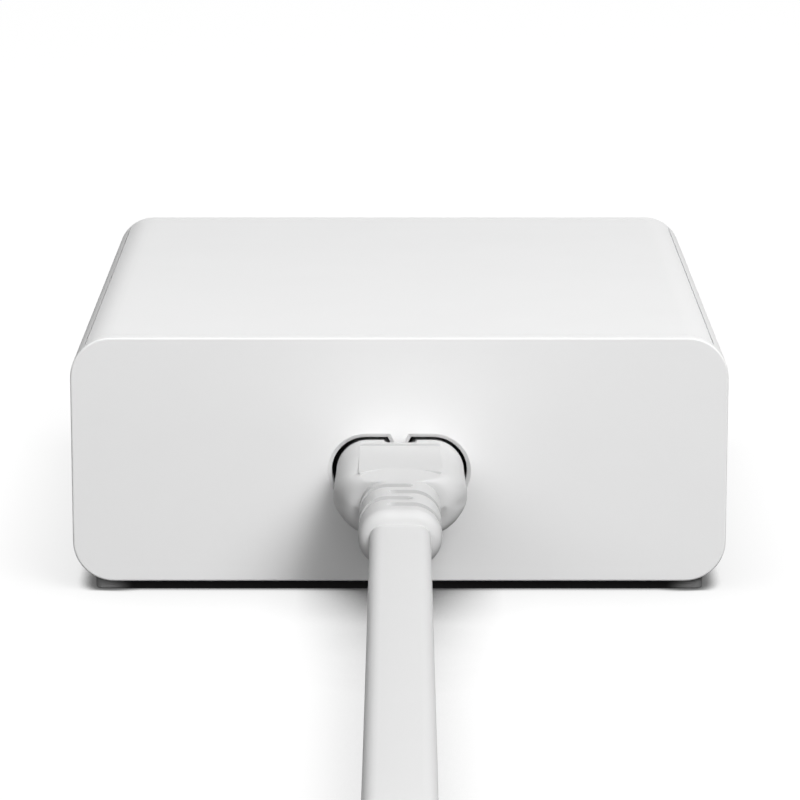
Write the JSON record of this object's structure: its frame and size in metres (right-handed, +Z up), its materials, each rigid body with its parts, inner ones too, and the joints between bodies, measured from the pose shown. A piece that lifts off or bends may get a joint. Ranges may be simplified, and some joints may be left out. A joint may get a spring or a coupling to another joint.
{
  "type": "multi-port usb desktop charger",
  "caption": "Low rounded box that charges devices from USB ports on its front face, fed by a flat detachable mains lead plugged into a figure-8 inlet at its back.",
  "frame": {"origin": "middle of the base pad's underside, on the surface the charger stands on", "axes": "+Z up, +Y out of the USB ports, -Y out of the mains inlet"},
  "size_m": [0.1094, 0.3684, 0.033],
  "materials": {
    "housing_white": "fine satin moulded plastic",
    "lead_white": "soft satin sheath and overmoulding",
    "pad_black": "matt black rubber",
    "insulator_black": "glass-filled black plastic",
    "insulator_white": "white insulator",
    "contact_nickel": "bright nickel plate",
    "contact_brass": "spring brass",
    "shell_steel": "plated sheet steel",
    "board_green": "solder-masked glass laminate",
    "film_clear": "thin insulating film",
    "fuse_brown": "moulded fuse case",
    "film_yellow": "film capacitor case",
    "package_black": "moulded semiconductor package",
    "ferrite_grey": "sintered ferrite",
    "winding_copper": "enamelled copper wire",
    "winding_tape": "taped winding",
    "can_sleeve": "shrink sleeve",
    "spreader_metal": "bent aluminium plate",
    "tie_grey": "woven hook and loop strap"
  },
  "bodies": {
    "root": {"housing_tub": "housing_white", "top_lid": "housing_white", "port_panel": "housing_white", "base_pad": "pad_black", "inlet_block": "insulator_black", "inlet_pin_left": "contact_nickel", "inlet_pin_right": "contact_nickel", "main_board": "board_green", "port_board": "board_green", "board_header": "insulator_black", "insulating_film": "film_clear", "fuse": "fuse_brown", "x_capacitor": "film_yellow", "bridge_rectifier": "package_black", "choke_core": "ferrite_grey", "choke_winding": "winding_copper", "bulk_capacitor_1": "can_sleeve", "bulk_capacitor_2": "can_sleeve", "transformer_core": "ferrite_grey", "transformer_winding": "winding_tape", "boost_core": "ferrite_grey", "boost_winding": "winding_copper", "heat_spreader": "spreader_metal", "power_switches": "package_black", "output_capacitors": "spreader_metal", "usb_c_shell_1": "shell_steel", "usb_c_shell_2": "shell_steel", "usb_c_tongue_1": "insulator_black", "usb_c_tongue_2": "insulator_black", "usb_a_shell_1": "shell_steel", "usb_a_shell_2": "shell_steel", "usb_a_tongue_1": "insulator_white", "usb_a_tongue_2": "insulator_white", "appliance_plug": "lead_white", "contact_sleeve_left": "contact_brass", "contact_sleeve_right": "contact_brass", "cord_run": "lead_white", "cord_coil": "lead_white", "cord_tail": "lead_white", "coil_tie": "tie_grey", "wall_plug": "lead_white", "plug_blade_left": "contact_nickel", "plug_blade_right": "contact_nickel"}
  },
  "joints": []
}
